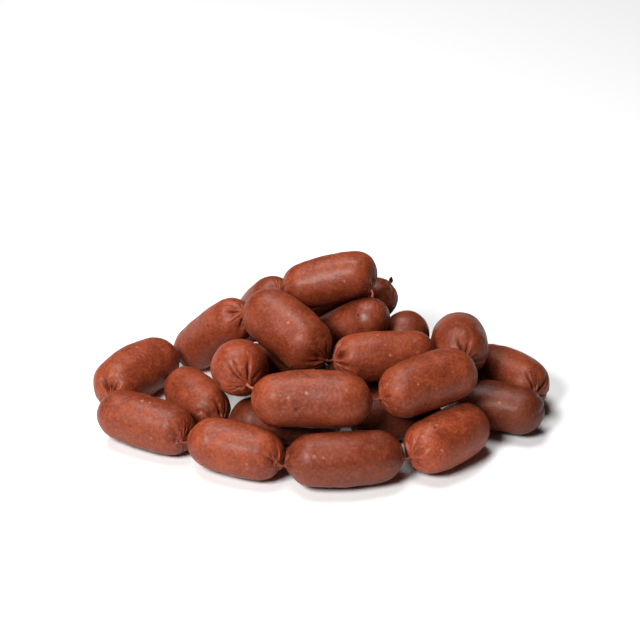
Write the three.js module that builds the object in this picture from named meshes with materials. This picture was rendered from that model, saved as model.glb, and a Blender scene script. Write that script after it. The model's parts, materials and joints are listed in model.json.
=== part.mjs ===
// A string of short, fat smoked sausage links, heaped on a table. Millimetres, +Z up, seen along +Y.
// Every link is a closed, round-ended body, and a thin twist of its casing joins it to the next one.
import * as THREE from "three";

// Sizes of the casing and of the finished surface
const touchGap = 0.3; // left between two links that touch
const chordAllowance = 0.25; // room for the round surface outside the spheres that stand for it
const neckLength = 3.6; // casing between the tips of two links that are folded against each other
const neckRadius = 1.6; // twisted casing where it leaves a link
const waistRadius = 1.15; // twisted casing at its thinnest
const tipReach = 0.6; // the gathered casing stands out of the link's end by this much
const tipPeak = 0.02; // share of the radius by which the end runs out to a point
const pleatDepth = 1.0; // folds of the casing round the tip
const endTaper = 0.05; // a link is thinner by this share where its round ends begin
const footDepth = 0.6; // a link on the table is pressed flat by this much
const tail = { straight: 4, drop: 6, spread: 1.1, flatness: 0.5 }; // loose casing on the string's two ends
const mostTipTurn = THREE.MathUtils.degToRad(66); // a tip is pulled at most this far off its link's axis
const freeTipTurn = THREE.MathUtils.degToRad(55); // the last link's free tip, turned to the back

// Fineness of the faceted solids
const sidesRound = 14;
const bodyRings = 5;
const capAngles = [24, 47, 66, 79].map((a) => THREE.MathUtils.degToRad(a)); // from a cap's foot to its tip
const foldShares = [0, 0.35, 1, 0.8]; // how deep the pleats are on each of those rings
const twistSides = 6;
const twistRings = 5;
const contactSpheres = 9; // along one link
const hair = 0.01; // small step along a link, as a share of its length

const casing = { color: 0x9a4c36, roughness: 0.42, metalness: 0 };
const twistedCasing = { color: 0x8a4433, roughness: 0.5, metalness: 0 };

// The links in the string's order, laid by hand: the middle's place, the heading of the axis in plan and its
// rise, both in degrees, then the length over both ends, the thickness, and the sideways bow of the middle.
const laid = [
  { place: [-91.5, -2, 20], heading: -56, rise: 0, length: 66, girth: 38, bow: 0 }, // left, a free end
  { place: [-26, -28, 19], heading: 1, rise: 0, length: 85, girth: 38, bow: 0 }, // lowest row, hidden
  { place: [54, -26, 19], heading: 3, rise: 0, length: 72, girth: 39, bow: 0 },
  { place: [43, 23, 20], heading: 183, rise: 0, length: 75, girth: 40, bow: 1 },
  { place: [-37, 40, 20], heading: 128, rise: 0, length: 74, girth: 40, bow: 0 },
  { place: [-56, -12, 42], heading: -98, rise: 12, length: 80, girth: 42, bow: 0 }, // end-on, left
  { place: [-9.5, -53, 54], heading: -8, rise: -5, length: 87, girth: 42, bow: 1.5 }, // second row, middle
  { place: [71.5, -32, 56], heading: 34, rise: 0, length: 80, girth: 41, bow: 1 }, // second row, right
  { place: [101, 30, 48], heading: 87, rise: -22, length: 66, girth: 43, bow: 0 }, // end-on, right
  { place: [138.5, 32, 19], heading: -48, rise: 0, length: 73, girth: 38, bow: 2 }, // far right, back
  { place: [128, -2, 19], heading: 138, rise: 0, length: 74, girth: 37, bow: 0 }, // far right, front
  { place: [83, -58, 20], heading: 221, rise: 0, length: 76, girth: 41, bow: 1.5 }, // front, from the right
  { place: [15.5, -79, 20], heading: 189, rise: 0, length: 85, girth: 41, bow: 1 },
  { place: [-64, -64.5, 20], heading: 157, rise: 0, length: 74, girth: 40, bow: 0 },
  { place: [-120, -39.5, 19], heading: 165, rise: 0, length: 78, girth: 40, bow: 0 },
  { place: [-141.5, 33, 21], heading: 44, rise: 0, length: 79, girth: 43, bow: 1.5 }, // far left
  { place: [-78.5, 66, 42], heading: -33, rise: 46, length: 88, girth: 38, bow: 1 }, // leaning up, left
  { place: [-25.5, 12.5, 69], heading: -46, rise: -17, length: 80, girth: 44, bow: 1 }, // the fat one, high up
  { place: [46.5, -0.5, 48], heading: -9, rise: 0, length: 78, girth: 38, bow: 0 }, // behind the second row
  { place: [58.5, 52, 44], heading: 87, rise: -56, length: 77, girth: 38, bow: 0 }, // end-on, back
  { place: [27, 84, 19], heading: 267, rise: 0, length: 74, girth: 38, bow: 0 }, // lowest row, back
  { place: [-13, 79, 19], heading: 92, rise: 0, length: 74, girth: 38, bow: 1.5 },
  { place: [-47, 77.5, 40], heading: -54, rise: 45, length: 79, girth: 38, bow: 0 }, // leaning up, back
  { place: [4, 53, 83], heading: -1, rise: 4, length: 75, girth: 37, bow: 1 }, // the top
  { place: [22, 38, 60], heading: 157, rise: -30, length: 68, girth: 35, bow: 0 }, // under the top
  { place: [24, 75, 57], heading: -11, rise: 0, length: 72, girth: 34, bow: 0 }, // the other free end
];

const up = new THREE.Vector3(0, 0, 1);
const backwards = new THREE.Vector3(-0.1, 0.95, 0.3);

// A link is carried by the middles of its two round ends, start and end
function linkFrom(row) {
  const heading = THREE.MathUtils.degToRad(row.heading);
  const rise = THREE.MathUtils.degToRad(row.rise);
  const axis = new THREE.Vector3(
    Math.cos(heading) * Math.cos(rise),
    Math.sin(heading) * Math.cos(rise),
    Math.sin(rise),
  );
  const middle = new THREE.Vector3(...row.place);
  const span = row.length - row.girth;
  const start = middle.clone().addScaledVector(axis, -span / 2);
  const end = middle.clone().addScaledVector(axis, span / 2);
  const homes = [start.clone(), end.clone()];
  return { start, end, homes, span, radius: row.girth / 2, bow: row.bow };
}

const sideways = (link) =>
  new THREE.Vector3().subVectors(link.end, link.start).cross(up).normalize().negate();

// Middle line and thickness of a link, t from 0 at the start's round end to 1 at the other.
// The bow is shared out so that the ends go half as far one way as the middle goes the other.
function pointOn(link, t) {
  const p = new THREE.Vector3().lerpVectors(link.start, link.end, t);
  return p.addScaledVector(sideways(link), link.bow * (4 * t * (1 - t) - 0.5));
}
const radiusOn = (link, t) => link.radius * (1 - endTaper * (2 * t - 1) ** 2);

function spheresOf(link) {
  return Array.from({ length: contactSpheres }, (_, k) => {
    const t = k / (contactSpheres - 1);
    return { t, centre: pointOn(link, t), radius: radiusOn(link, t) };
  });
}

// Moves the point at t of a link, as a rod held by its two ends
function push(link, t, move) {
  const share = t * t + (1 - t) * (1 - t);
  link.start.addScaledVector(move, (1 - t) / share);
  link.end.addScaledVector(move, t / share);
}

function keepSpan(link) {
  const along = new THREE.Vector3().subVectors(link.end, link.start);
  const excess = along.length() - link.span;
  along.normalize().multiplyScalar(excess / 2);
  link.start.add(along);
  link.end.sub(along);
}

// Parts two links that press into each other, and returns how deep they were
function part(a, b) {
  const reach = a.radius + b.radius + (a.span + b.span) / 2 + Math.abs(a.bow) + Math.abs(b.bow);
  const middles = new THREE.Vector3().addVectors(a.start, a.end).sub(b.start).sub(b.end);
  if (middles.length() / 2 > reach + touchGap + chordAllowance) return 0;
  let deepest = { depth: 0 };
  for (const p of spheresOf(a)) {
    for (const q of spheresOf(b)) {
      const depth = p.radius + q.radius + touchGap + chordAllowance - p.centre.distanceTo(q.centre);
      if (depth > deepest.depth) deepest = { depth, p, q };
    }
  }
  if (deepest.depth > 0) {
    const away = new THREE.Vector3().subVectors(deepest.p.centre, deepest.q.centre).normalize();
    push(a, deepest.p.t, away.clone().multiplyScalar(deepest.depth / 2));
    push(b, deepest.q.t, away.multiplyScalar(-deepest.depth / 2));
  }
  return deepest.depth;
}

function standOnTable(link) {
  for (const [end, radius] of [[link.start, radiusOn(link, 0)], [link.end, radiusOn(link, 1)]]) {
    end.z = Math.max(end.z, radius - footDepth);
  }
  const lack = link.radius - footDepth - (link.start.z + link.end.z) / 2;
  if (lack > 0) push(link, 0.5, new THREE.Vector3(0, 0, lack));
}

// Pulls two neighbours on the string together where their casing would not reach
function tie(a, b) {
  const pull = 0.25; // share of the excess taken up by each in one round
  const gap = new THREE.Vector3().subVectors(b.start, a.end);
  const excess = gap.length() - radiusOn(a, 1) - radiusOn(b, 0) - neckLength;
  if (excess <= 0) return;
  gap.normalize().multiplyScalar(excess * pull);
  push(a, 1, gap);
  push(b, 0, gap.negate());
}

// Lets the heap settle: links sink, part from each other and stay near the place they were laid.
// Sinking and holding fade out over the later half of the first rounds, then only parting is left.
function settle(links) {
  const rounds = 1000;
  const closing = 900;
  const sinking = 0.2;
  const hold = 0.16;
  const settled = 0.004;
  for (let round = 0; round < rounds + closing; round += 1) {
    const freedom = THREE.MathUtils.clamp(2 - (2 * round) / rounds, 0, 1);
    for (const link of links) {
      for (const [end, home] of [[link.start, link.homes[0]], [link.end, link.homes[1]]]) {
        end.x += (home.x - end.x) * hold * freedom;
        end.y += (home.y - end.y) * hold * freedom;
        end.z -= sinking * freedom;
      }
    }
    let deepest = 0;
    for (let i = 0; i < links.length; i += 1) {
      if (freedom > 0 && i > 0) tie(links[i - 1], links[i]);
      for (let j = 0; j < i; j += 1) deepest = Math.max(deepest, part(links[i], links[j]));
    }
    for (const link of links) {
      keepSpan(link);
      standOnTable(link);
    }
    if (freedom === 0 && deepest < settled) break;
  }
}

function turnedTowards(from, to, most) {
  const angle = Math.min(from.angleTo(to), most);
  const hinge = new THREE.Vector3().crossVectors(from, to);
  if (hinge.length() < 1e-6) return from.clone();
  return from.clone().applyAxisAngle(hinge.normalize(), angle);
}

// Direction in which each end's casing is gathered: along the axis, pulled over towards the neighbour
function gatherTips(links) {
  const leastCosine = 0.3; // keeps the two tips of a tight fold from lying down on each other
  for (const link of links) {
    link.caps = [pointOn(link, 0), pointOn(link, 1)];
    link.outwards = [
      link.caps[0].clone().sub(pointOn(link, hair)).normalize(),
      link.caps[1].clone().sub(pointOn(link, 1 - hair)).normalize(),
    ];
    link.tips = link.outwards.map((v) => v.clone());
  }
  const last = links.at(-1);
  last.tips[1] = turnedTowards(last.outwards[1], backwards, freeTipTurn);
  for (let i = 1; i < links.length; i += 1) {
    const [a, b] = [links[i - 1], links[i]];
    const across = new THREE.Vector3().subVectors(b.caps[0], a.caps[1]);
    const cosine = (across.length() - neckLength) / (a.radius + b.radius);
    const lift = Math.acos(THREE.MathUtils.clamp(cosine, leastCosine, 1));
    const outer = new THREE.Vector3().addVectors(a.outwards[1], b.outwards[0]);
    across.normalize();
    outer.addScaledVector(across, -outer.dot(across)).normalize().multiplyScalar(Math.sin(lift));
    across.multiplyScalar(Math.cos(lift));
    a.tips[1] = turnedTowards(a.outwards[1], outer.clone().add(across), mostTipTurn);
    b.tips[0] = turnedTowards(b.outwards[0], outer.clone().sub(across), mostTipTurn);
  }
}

// Closed surface through rings of equal count, with a point at each end, all faces outwards
function closedRings(first, rings, last) {
  const count = rings[0].length;
  const points = [first, ...rings.flat(), last];
  const faces = [];
  const at = (ring, k) => 1 + ring * count + (k % count);
  for (let k = 0; k < count; k += 1) {
    faces.push(0, at(0, k + 1), at(0, k));
    for (let ring = 0; ring + 1 < rings.length; ring += 1) {
      faces.push(at(ring, k), at(ring, k + 1), at(ring + 1, k + 1));
      faces.push(at(ring, k), at(ring + 1, k + 1), at(ring + 1, k));
    }
    faces.push(at(rings.length - 1, k), at(rings.length - 1, k + 1), points.length - 1);
  }
  const geometry = new THREE.BufferGeometry();
  const flat = points.flatMap((p) => [p.x, p.y, p.z]);
  geometry.setAttribute("position", new THREE.Float32BufferAttribute(flat, 3));
  geometry.setIndex(faces);
  geometry.computeVertexNormals();
  return geometry;
}

// A round of points about a middle, starting at the direction zero and running about the axis
function ringAbout(middle, axis, zero, radiusAt) {
  return Array.from({ length: sidesRound }, (_, k) => {
    const spoke = zero.clone().applyAxisAngle(axis, (2 * Math.PI * k) / sidesRound);
    return middle.clone().addScaledVector(spoke, radiusAt(k));
  });
}

const carried = (zero, axis) => zero.clone().addScaledVector(axis, -zero.dot(axis)).normalize();

// The round end of a link: rings that lean over from the axis to the tip and fold near it
function capRings(link, side, zero) {
  const outward = link.outwards[side];
  const tip = link.tips[side];
  const radius = radiusOn(link, side);
  const turn = outward.angleTo(tip);
  const pole = link.caps[side];
  const sense = side === 0 ? -1 : 1; // rings always run about the axis from start to end
  const rings = capAngles.map((angle, step) => {
    const lean = turnedTowards(outward, tip, (turn * angle) / (Math.PI / 2));
    const run = radius * (1 + tipPeak * (angle / capAngles.at(-1)) ** 3);
    const middle = pole.clone().addScaledVector(lean, run * Math.sin(angle));
    const fold = pleatDepth * foldShares[step];
    const axis = lean.clone().multiplyScalar(sense);
    const radiusAt = (k) => run * Math.cos(angle) - (k % 2) * fold;
    return ringAbout(middle, axis, carried(zero, lean), radiusAt);
  });
  const stub = pole.clone().addScaledVector(tip, radius + tipReach);
  const stubAxis = tip.clone().multiplyScalar(sense);
  rings.push(ringAbout(stub, stubAxis, carried(zero, tip), () => neckRadius));
  return { rings, point: stub };
}

function linkGeometry(link) {
  const axis = new THREE.Vector3().subVectors(link.end, link.start).normalize();
  const zero = carried(sideways(link), axis);
  const body = Array.from({ length: bodyRings }, (_, k) => {
    const t = k / (bodyRings - 1);
    const ahead = pointOn(link, t + hair).sub(pointOn(link, t - hair)).normalize();
    return ringAbout(pointOn(link, t), ahead, carried(zero, ahead), () => radiusOn(link, t));
  });
  const back = capRings(link, 0, zero);
  const front = capRings(link, 1, zero);
  const rings = [...back.rings.reverse(), ...body, ...front.rings];
  for (const point of rings.flat()) point.z = Math.max(point.z, 0);
  return closedRings(back.point, rings, front.point);
}

// Where the casing leaves a link's end, just clear of it
const exitOf = (link, side) =>
  link.caps[side].clone().addScaledVector(link.tips[side], radiusOn(link, side) + tipReach + touchGap);

// Closed cord along a route, oval by the flatness it reaches at its end, turned by one radian on its way
function cordGeometry(route, radiusAt, flatness) {
  let zero = Math.abs(route.getTangentAt(0).z) < 0.9 ? up : new THREE.Vector3(1, 0, 0);
  const rings = Array.from({ length: twistRings }, (_, k) => {
    const t = k / (twistRings - 1);
    const ahead = route.getTangentAt(t);
    zero = carried(zero, ahead);
    const across = new THREE.Vector3().crossVectors(ahead, zero);
    const width = THREE.MathUtils.lerp(1, flatness, t);
    return Array.from({ length: twistSides }, (_, n) => {
      const angle = (2 * Math.PI * n) / twistSides + t;
      const point = route.getPointAt(t).addScaledVector(zero, radiusAt(t) * Math.cos(angle) * width);
      return point.addScaledVector(across, radiusAt(t) * Math.sin(angle));
    });
  });
  return closedRings(route.getPointAt(0), rings, route.getPointAt(1));
}

// Casing twisted like a cord between two ends
function twistGeometry(a, b) {
  const [from, to] = [exitOf(a, 1), exitOf(b, 0)];
  const pull = from.distanceTo(to) / 3;
  const route = new THREE.CubicBezierCurve3(
    from,
    from.clone().addScaledVector(a.tips[1], pull),
    to.clone().addScaledVector(b.tips[0], pull),
    to,
  );
  return cordGeometry(route, (t) => waistRadius + (neckRadius - waistRadius) * (2 * t - 1) ** 2, 1);
}

// The last of the casing on a free end: a flattened, shrivelled tail that bends over
function tailGeometry(link, side, lean) {
  const from = exitOf(link, side);
  const knee = from.clone().addScaledVector(link.tips[side], tail.straight);
  const bend = new THREE.Vector3(...lean).normalize();
  const route = new THREE.QuadraticBezierCurve3(from, knee, knee.clone().addScaledVector(bend, tail.drop));
  return cordGeometry(route, (t) => waistRadius + tail.spread * t, tail.flatness);
}

const string = new THREE.Group();
const links = laid.map(linkFrom);
settle(links);
gatherTips(links);

const label = (n) => String(n).padStart(2, "0");
function add(name, geometry, finish) {
  const mesh = new THREE.Mesh(geometry, new THREE.MeshStandardMaterial(finish));
  mesh.name = name;
  string.add(mesh);
}
links.forEach((link, k) => add(`link_${label(k + 1)}`, linkGeometry(link), casing));
for (let k = 1; k < links.length; k += 1) {
  add(`twist_${label(k)}_${label(k + 1)}`, twistGeometry(links[k - 1], links[k]), twistedCasing);
}
add("tail_start", tailGeometry(links[0], 0, [-0.3, 0, -1]), twistedCasing);
add("tail_end", tailGeometry(links.at(-1), 1, [-0.8, 0.6, 0]), twistedCasing);

// The origin lies on the table, under the middle of the heap
const bounds = new THREE.Box3().setFromObject(string, true);
const centre = bounds.getCenter(new THREE.Vector3());
string.children.forEach((mesh) => mesh.geometry.translate(-centre.x, -centre.y, -bounds.min.z));

export default string;
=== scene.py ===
import json
import math

import bmesh
import bpy
import numpy as np
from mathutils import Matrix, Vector

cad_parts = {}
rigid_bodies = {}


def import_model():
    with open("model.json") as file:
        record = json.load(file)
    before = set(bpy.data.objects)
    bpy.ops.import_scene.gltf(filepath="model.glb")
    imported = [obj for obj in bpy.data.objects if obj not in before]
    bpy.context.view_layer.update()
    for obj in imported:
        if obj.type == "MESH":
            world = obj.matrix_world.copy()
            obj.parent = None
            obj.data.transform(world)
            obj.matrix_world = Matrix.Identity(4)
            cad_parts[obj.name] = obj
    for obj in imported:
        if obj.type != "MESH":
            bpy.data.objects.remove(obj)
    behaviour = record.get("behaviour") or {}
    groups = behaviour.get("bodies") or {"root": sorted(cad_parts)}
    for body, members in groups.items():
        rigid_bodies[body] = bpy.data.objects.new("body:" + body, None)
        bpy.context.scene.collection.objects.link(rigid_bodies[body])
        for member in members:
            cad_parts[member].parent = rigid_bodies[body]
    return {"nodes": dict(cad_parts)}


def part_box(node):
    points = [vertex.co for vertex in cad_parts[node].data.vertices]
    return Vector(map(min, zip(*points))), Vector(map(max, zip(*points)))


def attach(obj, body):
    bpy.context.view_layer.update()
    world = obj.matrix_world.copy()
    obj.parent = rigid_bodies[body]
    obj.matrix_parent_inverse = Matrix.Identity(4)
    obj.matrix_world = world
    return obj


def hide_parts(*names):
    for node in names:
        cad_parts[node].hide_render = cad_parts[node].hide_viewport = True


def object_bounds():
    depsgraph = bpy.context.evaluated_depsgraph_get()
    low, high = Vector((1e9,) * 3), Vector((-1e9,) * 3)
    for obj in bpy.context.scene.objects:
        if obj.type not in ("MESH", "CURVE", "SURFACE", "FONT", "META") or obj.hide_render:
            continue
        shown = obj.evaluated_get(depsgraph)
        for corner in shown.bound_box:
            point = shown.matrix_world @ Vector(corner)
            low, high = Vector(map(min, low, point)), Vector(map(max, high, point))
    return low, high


for leftover in list(bpy.data.objects):
    bpy.data.objects.remove(leftover)

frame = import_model()
cadBox = [list(corner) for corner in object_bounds()]
nodes = frame["nodes"]
linkCount = sum(name.startswith("link_") for name in nodes)
print("frame loaded:", linkCount, "links")

# Camera

view = {
    "target": (-0.0012, 0.0105, 0.0738),  # the point looked at
    "distance": 1.262,
    "elevation": 30,  # degrees
    "lens": 98,
}


def placeCamera():
    camera = bpy.data.objects.new("camera", bpy.data.cameras.new("camera"))
    bpy.context.scene.collection.objects.link(camera)
    rise = math.radians(view["elevation"])
    away = Vector((0, -math.cos(rise), math.sin(rise))) * view["distance"]
    camera.location = Vector(view["target"]) + away
    camera.rotation_euler = (math.pi / 2 - rise, 0, 0)
    camera.data.lens = view["lens"]
    camera.data.clip_start = 0.01
    bpy.context.scene.camera = camera


placeCamera()

# Building blocks for the node trees


def addNode(tree, kind, inputs=None, **settings):
    node = tree.nodes.new(kind)
    for key, value in settings.items():
        setattr(node, key, value)
    for key, value in (inputs or {}).items():
        if isinstance(value, bpy.types.NodeSocket):
            tree.links.new(value, node.inputs[key])
        else:
            node.inputs[key].default_value = value
    return node


def calc(tree, operation, a, b=0.0, c=0.0):
    return addNode(tree, "ShaderNodeMath", {0: a, 1: b, 2: c}, operation=operation).outputs[0]


def product(tree, *factors):
    result = factors[0]
    for factor in factors[1:]:
        result = calc(tree, "MULTIPLY", result, factor)
    return result


def vectorCalc(tree, operation, a, b):
    node = addNode(tree, "ShaderNodeVectorMath", {0: a, 1: b}, operation=operation)
    return node.outputs["Value" if operation == "DISTANCE" else "Vector"]


def scaled(tree, vector, scale):
    inputs = {0: vector, "Scale": scale}
    return addNode(tree, "ShaderNodeVectorMath", inputs, operation="SCALE").outputs["Vector"]


def noise(tree, vector, scale, detail=2.0, roughness=0.5, w=None):
    node = addNode(tree, "ShaderNodeTexNoise", noise_dimensions="3D" if w is None else "4D")
    tree.links.new(vector, node.inputs["Vector"])
    for key, value in {"Scale": scale, "Detail": detail, "Roughness": roughness, "W": w}.items():
        if isinstance(value, bpy.types.NodeSocket):
            tree.links.new(value, node.inputs[key])
        elif value is not None:
            node.inputs[key].default_value = value
    return node


def fade(tree, value, fromMin, fromMax, toMin=0.0, toMax=1.0):
    inputs = {0: value, 1: fromMin, 2: fromMax, 3: toMin, 4: toMax}
    node = addNode(tree, "ShaderNodeMapRange", inputs, interpolation_type="SMOOTHSTEP")
    return node.outputs[0]


def blendColours(tree, share, first, second):
    node = addNode(tree, "ShaderNodeMix", {0: share}, data_type="RGBA")
    for slot, colour in ((6, first), (7, second)):
        if isinstance(colour, bpy.types.NodeSocket):
            tree.links.new(colour, node.inputs[slot])
        else:
            node.inputs[slot].default_value = (*colour, 1)
    return node.outputs[2]


# Smoked casing: mottled red-brown, with pale flecks of fat, dark pits and a satin gloss, and with light and
# shade painted into its colour: shade in the pleats and creases, a tone per link and a highlight on some
# twists

casingLook = {
    "shade": (0.158, 0.0275, 0.0094),
    "middle": (0.206, 0.0390, 0.0136),
    "warm": (0.262, 0.0510, 0.0166),
    "pale_mottle_and_twist_highlight": (0.360, 0.097, 0.046),
    # darker tint for the dark mottling, and for the painted shade in the pleats and creases
    "crease_shade_and_dark_mottle": (0.078, 0.0145, 0.0055),
    # pink of the thin casing near the tips and in the twists, also used for a painted highlight on some
    # twists
    "neck": (0.400, 0.130, 0.075),
    "fat": (0.420, 0.150, 0.075),
    "pit": (0.030, 0.008, 0.004),
    "patches": 34,  # how fine each pattern is, per metre
    "smoke": 95,
    "mottling": 470,
    "grain": 900,
    "wobble": 520,
    "fatCells": 175,
    "pitCells": 62,
    "raggedness": 0.0032,  # how far the edges of flecks and marks wander, in metres
    "roughness": (0.40, 0.56),
    "wetRoughness": -0.14,  # added where a link is wet
    "coat": 0.07,
    "wetCoat": 0.30,
    "bump": 0.42,
    "bumpDepth": 0.0006,
}
casingGloss = {
    "Subsurface Weight": 0.10,
    "Subsurface Radius": (1, 0.35, 0.2),
    "Subsurface Scale": 0.003,
    "IOR": 1.42,
    "Specular IOR Level": 0.34,
    "Coat Roughness": 0.26,
}

# Single marks on the skins: the tint's name, the place and the size, in metres
marks = [
    ("pit", (-0.072, -0.048, 0.0565), 0.0026),
    ("pit", (-0.018, -0.079, 0.055), 0.0017),
    ("pit", (-0.028, -0.069, 0.067), 0.0012),
    ("pit", (0.0055, -0.0805, 0.0435), 0.0013),
    ("pit", (0.027, -0.050, 0.023), 0.0010),
    ("pit", (0.0845, -0.055, 0.0665), 0.0011),
    ("pit", (0.0785, -0.078, 0.039), 0.0010),
    ("pit", (0.138, -0.0265, 0.036), 0.0010),
    ("pit", (-0.0845, 0.035, 0.055), 0.0010),
    ("fat", (-0.137, 0.0255, 0.042), 0.0012),
    ("fat", (-0.127, -0.043, 0.039), 0.0015),
    ("fat", (-0.1215, -0.045, 0.0385), 0.0011),
    ("fat", (-0.0105, -0.0745, 0.0655), 0.0014),
    ("fat", (0.0725, -0.0605, 0.0675), 0.0012),
    ("fat", (0.0665, -0.0645, 0.066), 0.0012),
    ("fat", (0.0825, -0.0895, 0.028), 0.0013),
    ("fat", (0.1275, -0.032, 0.0305), 0.0014),
    ("fat", (-0.005, -0.105, 0.0335), 0.0015),
    ("fat", (0.001, -0.1055, 0.033), 0.0012),
    ("fat", (-0.033, -0.087, 0.032), 0.0009),
    ("fat", (-0.051, -0.0715, 0.0375), 0.0010),
    ("fat", (-0.024, -0.011, 0.0845), 0.0015),
    ("fat", (0.049, -0.022, 0.0635), 0.0012),
    ("fat", (0.0165, 0.029, 0.0955), 0.0010),
]


def meshValue(tree, name):
    return addNode(tree, "ShaderNodeAttribute", attribute_name=name).outputs["Fac"]


def scattered(tree, vector, scale, channel, keptFrom, keptTo):
    # spots in some of the cells of a pattern: how near a cell's middle is, and whether it is kept
    cells = addNode(tree, "ShaderNodeTexVoronoi", {"Vector": vector, "Scale": scale})
    draw = addNode(tree, "ShaderNodeSeparateColor", {0: cells.outputs["Color"]}).outputs[channel]
    return cells.outputs["Distance"], fade(tree, draw, keptFrom, keptTo)


def makeCasing(name, look):
    material = bpy.data.materials.new(name)
    material.use_nodes = True
    tree = material.node_tree
    shader = tree.nodes["Principled BSDF"]
    place = addNode(tree, "ShaderNodeTexCoord").outputs["Object"]
    patches = noise(tree, place, look["patches"], 3, 0.55).outputs["Fac"]
    smoke = noise(tree, place, look["smoke"], 3, 0.5).outputs["Fac"]
    mottling = noise(tree, place, look["mottling"], 4, 0.62).outputs["Fac"]
    grain = noise(tree, place, look["grain"], 4, 0.6).outputs["Fac"]
    wobble = noise(tree, place, look["wobble"], 2, 0.6).outputs["Color"]
    wobble = vectorCalc(tree, "SUBTRACT", wobble, (0.5, 0.5, 0.5))
    ragged = vectorCalc(tree, "ADD", place, scaled(tree, wobble, look["raggedness"]))

    # pale flecks of fat with ragged edges, a few on each link, and fewer round pits
    near, kept = scattered(tree, ragged, look["fatCells"], 0, 0.86, 0.98)
    fleck = product(tree, fade(tree, near, 0.06, 0.30, 1, 0), kept, 0.55)
    near, kept = scattered(tree, place, look["pitCells"], 1, 0.78, 0.84)
    pit = product(tree, fade(tree, near, 0.03, 0.09, 1, 0), kept)

    # each layer's share and tint, laid over the shade in this order
    layers = [
        (fade(tree, patches, 0.34, 0.62), "middle"),
        (fade(tree, smoke, 0.44, 0.68, 0, 0.7), "warm"),
        (fade(tree, mottling, 0.46, 0.72, 0, 0.42), "pale_mottle_and_twist_highlight"),
        (fade(tree, mottling, 0.26, 0.50, 0.40, 0), "crease_shade_and_dark_mottle"),
        (fleck, "fat"),
        (product(tree, pit, 0.7), "pit"),
        # painted shade: darker in the valleys of the pleats and creases
        (fade(tree, meshValue(tree, "crease_shade_and_dark_mottle"), 0.10, 1.1, 0, 0.62), "crease_shade_and_dark_mottle"),
    ]
    for tint, spot, size in marks:
        near = vectorCalc(tree, "DISTANCE", ragged, spot)
        layers.append((fade(tree, near, size * 0.5, size * 1.25, 0.8, 0), tint))
    layers.append((fade(tree, meshValue(tree, "tipDistance"), 0.0004, 0.0020, 0.10, 0), "neck"))
    # the twists' pink, raised into a painted highlight on some of them
    layers.append((meshValue(tree, "pink_and_painted_highlight"), "neck"))
    colour = look["shade"]
    for share, tint in layers:
        colour = blendColours(tree, share, colour, look[tint])
    # painted light and shade: each link's and twist's tone scales its whole colour
    colourWithPaintedLight = scaled(tree, colour, meshValue(tree, "painted_light_and_tone"))
    tree.links.new(colourWithPaintedLight, shader.inputs["Base Color"])

    wet = meshValue(tree, "wetness")
    satin = fade(tree, smoke, 0.3, 0.7, *look["roughness"])
    roughness = calc(tree, "MULTIPLY_ADD", wet, look["wetRoughness"], satin)
    coat = calc(tree, "MULTIPLY_ADD", wet, look["wetCoat"], look["coat"])
    tree.links.new(roughness, shader.inputs["Roughness"])
    tree.links.new(coat, shader.inputs["Coat Weight"])
    height = calc(tree, "MULTIPLY_ADD", mottling, 1.6, grain)
    height = calc(tree, "MULTIPLY_ADD", pit, -3, height)
    inputs = {"Strength": look["bump"], "Distance": look["bumpDepth"], "Height": height}
    bump = addNode(tree, "ShaderNodeBump", inputs)
    tree.links.new(bump.outputs["Normal"], shader.inputs["Normal"])
    for socket, value in casingGloss.items():
        shader.inputs[socket].default_value = value
    return material


casing = makeCasing("casing", casingLook)
twistedCasing = makeCasing("twisted_casing", casingLook)
print("materials made")

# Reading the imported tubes: a closed tube is walked from one end point to the other, ring by ring


def ringsOf(name):
    tube = bmesh.new()
    tube.from_mesh(nodes[name].data)
    bmesh.ops.remove_doubles(tube, verts=tube.verts, dist=1e-6)
    around = {v: {e.other_vert(v) for e in v.link_edges} for v in tube.verts}
    ends = [v for v in tube.verts if all(len(around[n]) == 5 for n in around[v])]
    layers = [{ends[0]}]
    seen = {ends[0]}
    while len(seen) < len(tube.verts):
        layer = set().union(*(around[v] for v in layers[-1])) - seen
        layers.append(layer)
        seen |= layer
    rings = [np.array(sorted(tuple(v.co) for v in layer)) for layer in layers]
    tube.free()
    return rings


def circleOf(points):
    free = points[points[:, 2] > 1e-5]  # leaves out points that the table has pressed flat
    middle = free.mean(0)
    axes = np.linalg.svd(free - middle)[2]
    flat = (free - middle) @ axes[:2].T
    fit = np.linalg.lstsq(np.c_[2 * flat, np.ones(len(flat))], (flat**2).sum(1), rcond=None)[0]
    radius = math.sqrt(fit[2] + fit[0] ** 2 + fit[1] ** 2)
    return middle + fit[:2] @ axes[:2], radius


def unit(v):
    return v / np.linalg.norm(v)


# Links

linkShape = {
    "columns": 112,
    "bodyRows": 34,
    "capRows": 28,
    "capTurn": 81,  # degrees from the foot of a round end to where the casing is gathered
    "gatherRows": 8,
    "neckRadius": 0.0012,
    "peak": 0.02,  # share of the radius by which the end runs out to its tip
    "tipReach": 0.0006,
    "capRings": 5,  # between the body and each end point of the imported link
    "girth": 0.997,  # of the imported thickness
    "oval": 0.03,
}
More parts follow.
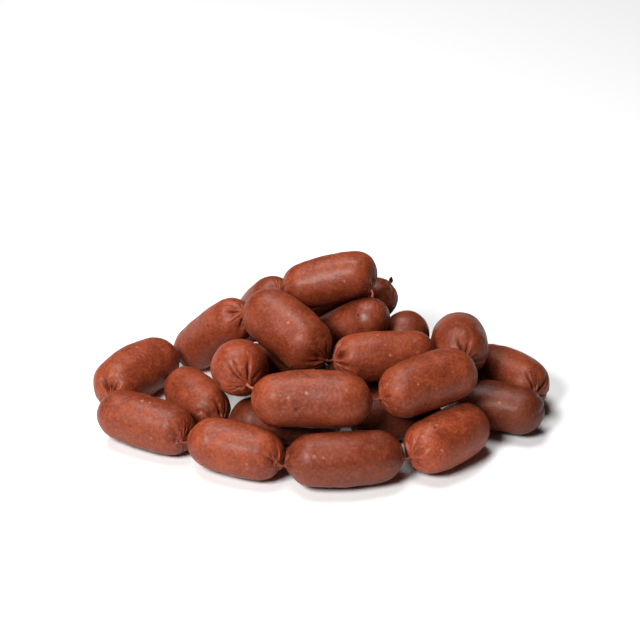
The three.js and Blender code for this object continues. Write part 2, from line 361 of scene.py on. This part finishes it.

# How much light and shade is painted into a link's skin as its tone (lighter where the link is lit, darker
# where it lies in shade or deep in the heap), how wet it looks, and how deep the fine pleats and the long
# creases are at its start and its end, as shares of the depths in skinRelief
usualLook = {"painted_light_and_tone": 1.0, "wetness": 0.0, "pleats": (0.7, 0.7), "creases": (0.5, 0.5)}
linkLooks = {
    1: {"pleats": (0.5, 1.4), "creases": (0.3, 1.0)},
    2: {"painted_light_and_tone": 0.68},
    3: {"painted_light_and_tone": 0.68},
    4: {"painted_light_and_tone": 0.75},
    5: {"painted_light_and_tone": 0.75},
    6: {"painted_light_and_tone": 1.16, "pleats": (0.6, 1.1), "creases": (0.5, 1.3)},
    7: {"pleats": (0.5, 0.8), "creases": (0.3, 0.3)},
    8: {"pleats": (1.3, 0.8), "creases": (0.5, 0.8)},
    9: {"painted_light_and_tone": 0.90, "pleats": (0.8, 0.8), "creases": (1.5, 0.6)},
    10: {"painted_light_and_tone": 0.94, "pleats": (0.6, 1.1), "creases": (0.4, 1.6)},
    11: {"painted_light_and_tone": 0.60, "pleats": (0.8, 0.6), "creases": (1.0, 0.4)},
    12: {"painted_light_and_tone": 1.28, "pleats": (0.5, 1.6), "creases": (0.3, 0.8)},
    13: {"painted_light_and_tone": 0.80, "wetness": 0.1, "pleats": (0.7, 0.8), "creases": (0.2, 1.6)},
    14: {"painted_light_and_tone": 1.06, "pleats": (1.2, 0.4), "creases": (0.6, 0.2)},
    15: {"painted_light_and_tone": 0.96, "pleats": (0.9, 0.4), "creases": (0.8, 0.2)},
    16: {"painted_light_and_tone": 1.10, "pleats": (0.8, 0.4), "creases": (3.0, 0.2)},
    17: {"painted_light_and_tone": 1.14, "pleats": (0.9, 0.9), "creases": (0.5, 1.3)},
    18: {"painted_light_and_tone": 0.96, "wetness": 0.1, "pleats": (0.5, 1.1), "creases": (0.2, 1.2)},
    19: {"painted_light_and_tone": 1.08, "pleats": (1.0, 0.6), "creases": (1.9, 0.4)},
    20: {"painted_light_and_tone": 0.72, "pleats": (0.1, 0.7), "creases": (0.0, 0.4)},
    23: {"painted_light_and_tone": 0.85},
    24: {"wetness": 0.12, "pleats": (0.5, 0.9), "creases": (0.3, 0.4)},
    25: {"painted_light_and_tone": 0.82, "wetness": 0.25, "pleats": (0.3, 0.8), "creases": (0.1, 0.5)},
    26: {"pleats": (0.6, 1.4), "creases": (0.4, 1.0)},
}


def tipRoute(radius, turn):
    # rows from a round end's foot to its neck: angle leaned over, height along the lean, distance from it
    rows = []
    last = math.radians(linkShape["capTurn"])
    for step in range(linkShape["capRows"]):
        angle = last * (step + 1) / linkShape["capRows"]
        run = radius * (1 + linkShape["peak"] * (angle / last) ** 3)
        rows.append((turn * angle / (math.pi / 2), run * math.sin(angle), run * math.cos(angle)))
    _, height, width = rows[-1]
    neck = linkShape["neckRadius"]
    top = radius * (1 + linkShape["peak"]) + linkShape["tipReach"]
    for step in range(linkShape["gatherRows"]):
        t = (step + 1) / linkShape["gatherRows"]
        narrow = neck + (width - neck) * (1 - t) ** 2.2
        rise = height + (top - height) * t**2.4
        rows.append((turn, rise, narrow))
    return rows


def turned(start, goal, angle):
    across = goal - start * (goal @ start)
    if np.linalg.norm(across) < 1e-6:
        return start
    return start * math.cos(angle) + unit(across) * math.sin(angle)


def linkRows(name):
    # rows from one tip to the other: middle, axis and radius
    rings = ringsOf(name)
    skip = linkShape["capRings"] + 1
    body = [circleOf(ring) for ring in rings[skip:-skip]]
    tips = [rings[0][0], rings[-1][0]]
    t = np.linspace(0, 1, len(body))
    spine = [np.polyfit(t, [middle[k] for middle, _ in body], 2) for k in range(3)]
    girth = np.polyfit(t, [radius for _, radius in body], 2)

    def at(s):
        return np.array([np.polyval(p, s) for p in spine])

    def slope(s):
        return unit(np.array([np.polyval(np.polyder(p), s) for p in spine]))

    def radiusAt(s):
        return np.polyval(girth, s) * linkShape["girth"]

    caps = []
    for side, sense in ((0, -1), (1, 1)):
        foot = at(side)
        outward = slope(side) * sense
        tip = unit(tips[side] - foot)
        lean = math.acos(max(-1, min(1, outward @ tip)))
        cap = []
        for angle, height, width in tipRoute(radiusAt(side), lean):
            axis = turned(outward, tip, angle)
            cap.append([foot + axis * height, axis * sense, width])
        caps.append(cap)
    shares = [k / linkShape["bodyRows"] for k in range(linkShape["bodyRows"] + 1)]
    return caps[0][::-1] + [[at(s), slope(s), radiusAt(s)] for s in shares] + caps[1]


def linkGrid(name, seed):
    rows = linkRows(name)
    sideways = unit(np.cross(rows[len(rows) // 2][1], (0, 0, 1)))
    angles = np.linspace(0, 2 * math.pi, linkShape["columns"], endpoint=False)
    ovalTurn = np.random.default_rng(seed).uniform(0, math.pi)
    grid = []
    for middle, axis, radius in rows:
        zero = unit(sideways - axis * (sideways @ axis))
        other = np.cross(axis, zero)
        reach = radius * (1 - linkShape["oval"] * np.sin(angles - ovalTurn) ** 2)
        spokes = np.outer(np.cos(angles) * reach, zero) + np.outer(np.sin(angles) * reach, other)
        grid.append(middle + spokes)
    grid = np.array(grid)
    widths = np.array([radius for _, _, radius in rows])
    steps = np.linalg.norm(np.diff(grid.mean(1), axis=0), axis=1)
    steps = np.hypot(steps, np.diff(widths))  # along the skin, not along the spine
    fromStart = np.r_[0, np.cumsum(steps)]
    return grid, angles, fromStart, fromStart[-1] - fromStart, widths


def closedMesh(name, grid):
    rowCount, columnCount, _ = grid.shape
    points = [tuple(p) for p in grid.reshape(-1, 3)]
    faces = []
    for row in range(rowCount - 1):
        for k in range(columnCount):
            a = row * columnCount + k
            b = row * columnCount + (k + 1) % columnCount
            faces.append((a, b, b + columnCount, a + columnCount))
    first = len(points)
    points += [tuple(grid[0].mean(0)), tuple(grid[-1].mean(0))]
    last = (rowCount - 1) * columnCount
    for k in range(columnCount):
        faces.append((first, (k + 1) % columnCount, k))
        faces.append((first + 1, last + k, last + (k + 1) % columnCount))
    mesh = bpy.data.meshes.new(name)
    mesh.from_pydata(points, [], faces)
    mesh.update()
    return mesh


def storeValues(mesh, name, values, kind="FLOAT"):
    attribute = mesh.attributes.new(name, kind, "POINT")
    key = "vector" if kind == "FLOAT_VECTOR" else "value"
    attribute.data.foreach_set(key, np.ascontiguousarray(values, np.float32).ravel())


# The skin's relief: soft lumps of the filling, pleats that run out from both tips, and fine wrinkles

skinRelief = {
    "Lump Size": 0.021,
    "Lump Height": 0.0026,
    "Lump Balance": 0.60,  # above 0.5, more of the skin is sunk than raised
    "Pleats": 1.9,  # how close together they are
    "Pleat Width": 0.11,
    "Pleat Depth": 0.0018,
    "Pleat Reach": 0.0088,
    "Creases": 0.75,
    "Crease Width": 0.075,
    "Crease Depth": 0.0030,
    "Crease Reach": 0.0125,
    "Wrinkle Size": 0.0032,
    "Wrinkle Height": 0.00022,
    "Edge": 0.004,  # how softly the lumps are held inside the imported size
    "Table Gap": 0.00015,
}


def newTree(name, sizes):
    tree = bpy.data.node_groups.new(name, "GeometryNodeTree")
    face = tree.interface
    face.new_socket("Geometry", in_out="INPUT", socket_type="NodeSocketGeometry")
    for key, value in sizes.items():
        face.new_socket(key, in_out="INPUT", socket_type="NodeSocketFloat").default_value = value
    face.new_socket("Seed", in_out="INPUT", socket_type="NodeSocketFloat")
    face.new_socket("Material", in_out="INPUT", socket_type="NodeSocketMaterial")
    face.new_socket("Geometry", in_out="OUTPUT", socket_type="NodeSocketGeometry")
    return tree, tree.nodes.new("NodeGroupInput").outputs


def finishTree(tree, geometry, material):
    smooth = addNode(tree, "GeometryNodeSetShadeSmooth", {"Geometry": geometry})
    whole = addNode(tree, "GeometryNodeRealizeInstances", {"Geometry": smooth.outputs[0]})
    inputs = {"Geometry": whole.outputs[0], "Material": material}
    coated = addNode(tree, "GeometryNodeSetMaterial", inputs)
    out = tree.nodes.new("NodeGroupOutput")
    tree.links.new(coated.outputs[0], out.inputs[0])


def named(tree, name, kind="FLOAT"):
    node = addNode(tree, "GeometryNodeInputNamedAttribute", {"Name": name}, data_type=kind)
    return node.outputs[0]


def moveAlongNormal(tree, geometry, height):
    normal = addNode(tree, "GeometryNodeInputNormal").outputs[0]
    inputs = {"Geometry": geometry, "Offset": scaled(tree, normal, height)}
    return addNode(tree, "GeometryNodeSetPosition", inputs).outputs[0]


def keepValue(tree, geometry, name, value):
    inputs = {"Geometry": geometry, "Name": name, "Value": value}
    return addNode(tree, "GeometryNodeStoreNamedAttribute", inputs).outputs[0]


def makeSkinTree():
    tree, given = newTree("sausageSkin", skinRelief)
    position = addNode(tree, "GeometryNodeInputPosition").outputs[0]
    spoke = named(tree, "spoke", "FLOAT_VECTOR")
    tipDistance = named(tree, "tipDistance")
    narrow = fade(tree, named(tree, "skinRadius"), 0.0012, 0.0075)  # no folds on the neck itself
    seed = given["Seed"]

    fineness = calc(tree, "DIVIDE", 1, given["Lump Size"])
    lumps = noise(tree, position, fineness, 2, 0.45, seed).outputs["Fac"]
    lumps = calc(tree, "SUBTRACT", lumps, given["Lump Balance"])

    # pleats round the tip: rounded folds with sharp valleys between them, each with its own length
    drift = calc(tree, "MULTIPLY_ADD", tipDistance, 25, seed)
    folded = noise(tree, spoke, given["Pleats"], 2, 0.5, drift).outputs["Fac"]
    ridge = calc(tree, "ABSOLUTE", calc(tree, "SUBTRACT", folded, 0.5))
    valley = fade(tree, ridge, 0.0, given["Pleat Width"], 1, 0)
    lengths = noise(tree, spoke, 1.3, 1, 0.5, calc(tree, "ADD", seed, 7)).outputs["Fac"]
    reach = product(tree, given["Pleat Reach"], fade(tree, lengths, 0.3, 0.7, 0.45, 1.6))
    gone = calc(tree, "POWER", calc(tree, "DIVIDE", tipDistance, reach), 1.5)
    left = calc(tree, "EXPONENT", product(tree, gone, -1))
    pleats = product(tree, valley, left, narrow, named(tree, "pleatShare"))

    # a few broad creases that reach further
    broad = noise(tree, spoke, given["Creases"], 1, 0.4, calc(tree, "ADD", seed, 19)).outputs["Fac"]
    ridge = calc(tree, "ABSOLUTE", calc(tree, "SUBTRACT", broad, 0.5))
    valley = fade(tree, ridge, 0.0, given["Crease Width"], 1, 0)
    gone = calc(tree, "POWER", calc(tree, "DIVIDE", tipDistance, given["Crease Reach"]), 2)
    left = calc(tree, "EXPONENT", product(tree, gone, -1))
    creases = product(tree, valley, left, narrow, named(tree, "creaseShare"))

    fineness = calc(tree, "DIVIDE", 1, given["Wrinkle Size"])
    wrinkles = noise(tree, position, fineness, 3, 0.6, seed).outputs["Fac"]
    wrinkles = calc(tree, "SUBTRACT", wrinkles, 0.5)

    sunk = product(tree, pleats, given["Pleat Depth"])
    sunk = calc(tree, "MULTIPLY_ADD", creases, given["Crease Depth"], sunk)
    height = product(tree, wrinkles, given["Wrinkle Height"])
    height = calc(tree, "MULTIPLY_ADD", lumps, given["Lump Height"], height)
    height = calc(tree, "SUBTRACT", height, sunk)
    moved = moveAlongNormal(tree, given["Geometry"], height)

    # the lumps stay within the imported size, and what lies on the table is pressed flat
    later = addNode(tree, "GeometryNodeInputPosition").outputs[0]
    parts = addNode(tree, "ShaderNodeSeparateXYZ", {0: later}).outputs
    lowest, highest = cadBox
    edge = given["Edge"]
    held = {k: calc(tree, "SMOOTH_MIN", parts[k], highest[k], edge) for k in range(3)}
    for k in (0, 1):
        held[k] = calc(tree, "SMOOTH_MAX", held[k], lowest[k], edge)
    held[2] = calc(tree, "MAXIMUM", held[2], given["Table Gap"])
    inputs = {"Geometry": moved, "Position": addNode(tree, "ShaderNodeCombineXYZ", held).outputs[0]}
    stood = addNode(tree, "GeometryNodeSetPosition", inputs).outputs[0]
    # how deep each point lies in a pleat or crease valley, kept for the painted shade there
    kept = keepValue(tree, stood, "crease_shade_and_dark_mottle", calc(tree, "MAXIMUM", pleats, creases))
    finishTree(tree, kept, given["Material"])
    return tree


def dress(obj, tree, values):
    modifier = obj.modifiers.new(tree.name, "NODES")
    modifier.node_group = tree
    for socket in tree.interface.items_tree:
        if socket.in_out == "INPUT" and socket.name in values:
            modifier[socket.identifier] = values[socket.name]
    bpy.context.view_layer.update()
    shaped = obj.evaluated_get(bpy.context.evaluated_depsgraph_get())
    mesh = bpy.data.meshes.new_from_object(shaped)
    name = obj.name
    bpy.data.objects.remove(obj)
    plain = bpy.data.objects.new(name, mesh)
    bpy.context.scene.collection.objects.link(plain)
    return plain


skinTree = makeSkinTree()


def middleOf(name):
    low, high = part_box(name)
    return np.array((low + high) / 2)


def previousTwist(number):
    return "tail_start" if number == 1 else f"twist_{number - 1:02d}_{number:02d}"


def makeLink(number):
    name = f"link_{number:02d}"
    look = usualLook | linkLooks.get(number, {})
    grid, angles, fromStart, fromEnd, widths = linkGrid(name, number)
    before = middleOf(previousTwist(number))
    if np.linalg.norm(grid[0].mean(0) - before) > np.linalg.norm(grid[-1].mean(0) - before):
        grid, angles, widths = grid[::-1, ::-1], angles[::-1], widths[::-1]
        fromStart, fromEnd = fromEnd[::-1], fromStart[::-1]
    mesh = closedMesh(name + "_skin", grid)
    rows, columns, _ = grid.shape
    nearStart = fromStart < fromEnd
    perRow = {
        "tipDistance": np.minimum(fromStart, fromEnd),
        "skinRadius": widths,
        "pleatShare": np.where(nearStart, *look["pleats"]),
        "creaseShare": np.where(nearStart, *look["creases"]),
        # painted light and shade, the same over the whole link
        "painted_light_and_tone": np.full(rows, look["painted_light_and_tone"]),
        "wetness": np.full(rows, look["wetness"]),
    }
    for key, values in perRow.items():
        storeValues(mesh, key, np.r_[np.repeat(values, columns), values[0], values[-1]])
    apart = 5  # gives the two ends of a link different pleats
    spokes = np.zeros((rows, columns, 3))
    spokes[:, :, 0] = np.cos(angles)
    spokes[:, :, 1] = np.sin(angles)
    spokes[:, :, 2] = np.where(nearStart, 0, apart)[:, None]
    ends = np.array([[0, 0, 0], [0, 0, apart]])
    storeValues(mesh, "spoke", np.r_[spokes.reshape(-1, 3), ends], "FLOAT_VECTOR")
    obj = bpy.data.objects.new(name + "_skin", mesh)
    bpy.context.scene.collection.objects.link(obj)
    skin = dress(obj, skinTree, {"Seed": number * 3.7, "Material": casing})
    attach(skin, "root")
    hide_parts(name)


for number in range(1, linkCount + 1):
    makeLink(number)
print("links made")

# Twists of casing between the links, and the tails at the string's ends

cordShape = {
    "Turns": 1.6,
    "Lobe Depth": 0.28,
    "Ruffle": 0.0004,
    "Flatness": 1.0,
    # share of the pink tint, raised into a painted highlight on some twists
    "Pink_And_Painted_Highlight": 0.02,
    # tone of the twists, darker than the links, and lighter on some twists as part of their painted
    # highlight
    "Painted_Light_And_Tone": 0.55,
}


def makeCordTree():
    tree, given = newTree("twistedSkin", cordShape)
    fine = addNode(tree, "GeometryNodeResampleCurve", {"Curve": given["Geometry"], "Count": 40})
    along = addNode(tree, "GeometryNodeSplineParameter").outputs["Factor"]
    turns = product(tree, along, given["Turns"], 2 * math.pi)
    wound = addNode(tree, "GeometryNodeSetCurveTilt", {"Curve": fine.outputs[0], "Tilt": turns})

    # a round section with three lobes, as of a few strands wound together
    profile = addNode(tree, "GeometryNodeCurvePrimitiveCircle", {"Resolution": 24, "Radius": 1})
    spot = addNode(tree, "GeometryNodeInputPosition").outputs[0]
    parts = addNode(tree, "ShaderNodeSeparateXYZ", {0: spot}).outputs
    angle = calc(tree, "ARCTAN2", parts[1], parts[0])
    lobes = calc(tree, "ABSOLUTE", calc(tree, "SINE", product(tree, angle, 1.5)))
    cut = product(tree, calc(tree, "SUBTRACT", 1, lobes), given["Lobe Depth"])
    lobed = scaled(tree, spot, calc(tree, "SUBTRACT", 1, cut))
    inputs = {"Geometry": profile.outputs[0], "Position": lobed}
    section = addNode(tree, "GeometryNodeSetPosition", inputs)
    flat = addNode(tree, "ShaderNodeCombineXYZ", {0: 1.0, 1: given["Flatness"], 2: 1.0})
    inputs = {"Geometry": section.outputs[0], "Scale": flat.outputs[0]}
    pressed = addNode(tree, "GeometryNodeTransform", inputs)

    inputs = {
        "Curve": wound.outputs[0],
        "Profile Curve": pressed.outputs[0],
        "Scale": addNode(tree, "GeometryNodeInputRadius").outputs[0],
        "Fill Caps": True,
    }
    tube = addNode(tree, "GeometryNodeCurveToMesh", inputs).outputs[0]
    position = addNode(tree, "GeometryNodeInputPosition").outputs[0]
    ruffle = noise(tree, position, 420, 3, 0.6, given["Seed"]).outputs["Fac"]
    ruffle = product(tree, calc(tree, "SUBTRACT", ruffle, 0.5), given["Ruffle"])
    shaped = moveAlongNormal(tree, tube, ruffle)
    # the pink tint with its painted highlight, and the tone with its painted light and shade, kept for the
    # casing
    for key in ("Pink_And_Painted_Highlight", "Painted_Light_And_Tone"):
        shaped = keepValue(tree, shaped, key.lower(), given[key])
    finishTree(tree, shaped, given["Material"])
    return tree


cordTree = makeCordTree()


def smoothRoute(points, count):
    # a smooth line through a few points
    padded = np.vstack([2 * points[0] - points[1], points, 2 * points[-1] - points[-2]])
    route = []
    for s in np.linspace(0, len(points) - 1, count):
        k = min(int(s), len(points) - 2)
        t = s - k
        a, b, c, d = padded[k : k + 4]
        curve = (c - a) * t + (2 * a - 5 * b + 4 * c - d) * t**2 + (3 * b - a - 3 * c + d) * t**3
        route.append(b + 0.5 * curve)
    return np.array(route)


def fromItsLink(middles, linkName):
    # the middles of a tail's rings, the nearest to its link first
    spots = np.array([v.co for v in nodes[linkName].data.vertices])
    gaps = [np.linalg.norm(spots - m, axis=1).min() for m in (middles[0], middles[-1])]
    return middles[::-1] if gaps[0] > gaps[1] else middles


def makeCord(name, middles, shape, values):
    route = smoothRoute(middles, 24)
    before, after = shape["overlap"]
    start = route[0] + unit(route[0] - route[1]) * before
    end = route[-1] + unit(route[-1] - route[-2]) * after
    route = np.vstack([start, route, end])
    data = bpy.data.curves.new(name, "CURVE")
    data.dimensions = "3D"
    spline = data.splines.new("POLY")
    spline.points.add(len(route) - 1)
    shares = np.linspace(0, 1, len(route))
    for k, point in enumerate(spline.points):
        point.co = (*route[k], 1)
        point.radius = np.interp(shares[k], *shape["radii"])
    obj = bpy.data.objects.new(name + "_skin", data)
    bpy.context.scene.collection.objects.link(obj)
    cord = dress(obj, cordTree, values | {"Material": twistedCasing})
    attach(cord, "root")
    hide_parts(name)


def ringMiddles(name):
    return np.array([ring.mean(0) for ring in ringsOf(name)[1:-1]])


# Radii at shares of the length, and how far the ends reach into the links' necks
twistShape = {
    "radii": ([0, 0.2, 0.5, 0.8, 1], [0.0012, 0.0010, 0.0008, 0.0010, 0.0012]),
    "overlap": (0.0009, 0.0009),
    "paintedHighlightOnes": (6, 24),  # the links after which the twist gets a painted highlight
    # painted highlight: more pink and a lighter tone
    "pale_mottle_and_twist_highlight": {"Pink_And_Painted_Highlight": 0.6, "Painted_Light_And_Tone": 1.1},
}
tailShape = {
    "radii": ([0, 0.3, 0.75, 1], [0.0014, 0.0019, 0.0026, 0.0016]),
    "overlap": (0.0009, 0),
    "values": {"Seed": 40, "Turns": 0.35, "Flatness": 0.6, "Ruffle": 0.0012, "Painted_Light_And_Tone": 0.45},
    "rings": {"tail_start": None, "tail_end": 3},  # how many packed rings are dressed, None for all
}

for number in range(1, linkCount):
    name = f"twist_{number:02d}_{number + 1:02d}"
    values = {"Seed": number} | (twistShape["pale_mottle_and_twist_highlight"] if number in twistShape["paintedHighlightOnes"] else {})
    makeCord(name, ringMiddles(name), twistShape, values)
for name, linkName in (("tail_start", "link_01"), ("tail_end", f"link_{linkCount:02d}")):
    middles = fromItsLink(ringMiddles(name), linkName)
    makeCord(name, middles[: tailShape["rings"][name]], tailShape, tailShape["values"])
print("twists made")

# Table and light

studio = {
    "table": (0.86, 0.86, 0.86),
    "tableRoughness": 0.9,
    "tableHalf": 3,  # from the middle to an edge, in metres
    "sky": (1.0, 1.0, 1.0),
    "skyStrength": 0.02,
    "gamma": 0.93,  # for a little more contrast
    "key": {"place": (-0.52, -0.74, 0.85), "aim": (0, 0, 0.04), "size": 0.45, "power": 18.4},
    "top": {"place": (-0.6, 0.7, 3.0), "aim": (0, 0.2, 0.04), "size": 1.8, "power": 96},
}


def makeTable():
    mesh = bpy.data.meshes.new("table")
    half = studio["tableHalf"]
    corners = [(-half, -half, 0), (half, -half, 0), (half, half, 0), (-half, half, 0)]
    mesh.from_pydata(corners, [], [(0, 1, 2, 3)])
    table = bpy.data.objects.new("table", mesh)
    bpy.context.scene.collection.objects.link(table)
    material = bpy.data.materials.new("table")
    material.use_nodes = True
    shader = material.node_tree.nodes["Principled BSDF"]
    shader.inputs["Base Color"].default_value = (*studio["table"], 1)
    shader.inputs["Roughness"].default_value = studio["tableRoughness"]
    mesh.materials.append(material)


def makeLight(name, place, aim, size, power):
    data = bpy.data.lights.new(name, "AREA")
    data.shape = "DISK"
    data.size = size
    data.energy = power
    light = bpy.data.objects.new(name, data)
    bpy.context.scene.collection.objects.link(light)
    light.location = place
    light.rotation_euler = (Vector(aim) - Vector(place)).to_track_quat("-Z", "Y").to_euler()


def makeSky():
    world = bpy.data.worlds.new("studio")
    world.use_nodes = True
    background = world.node_tree.nodes["Background"]
    background.inputs["Color"].default_value = (*studio["sky"], 1)
    background.inputs["Strength"].default_value = studio["skyStrength"]
    bpy.context.scene.world = world


makeTable()
makeLight("key", **studio["key"])
makeLight("top", **studio["top"])
makeSky()
bpy.context.scene.view_settings.view_transform = "Standard"
bpy.context.scene.view_settings.gamma = studio["gamma"]
print("studio made")
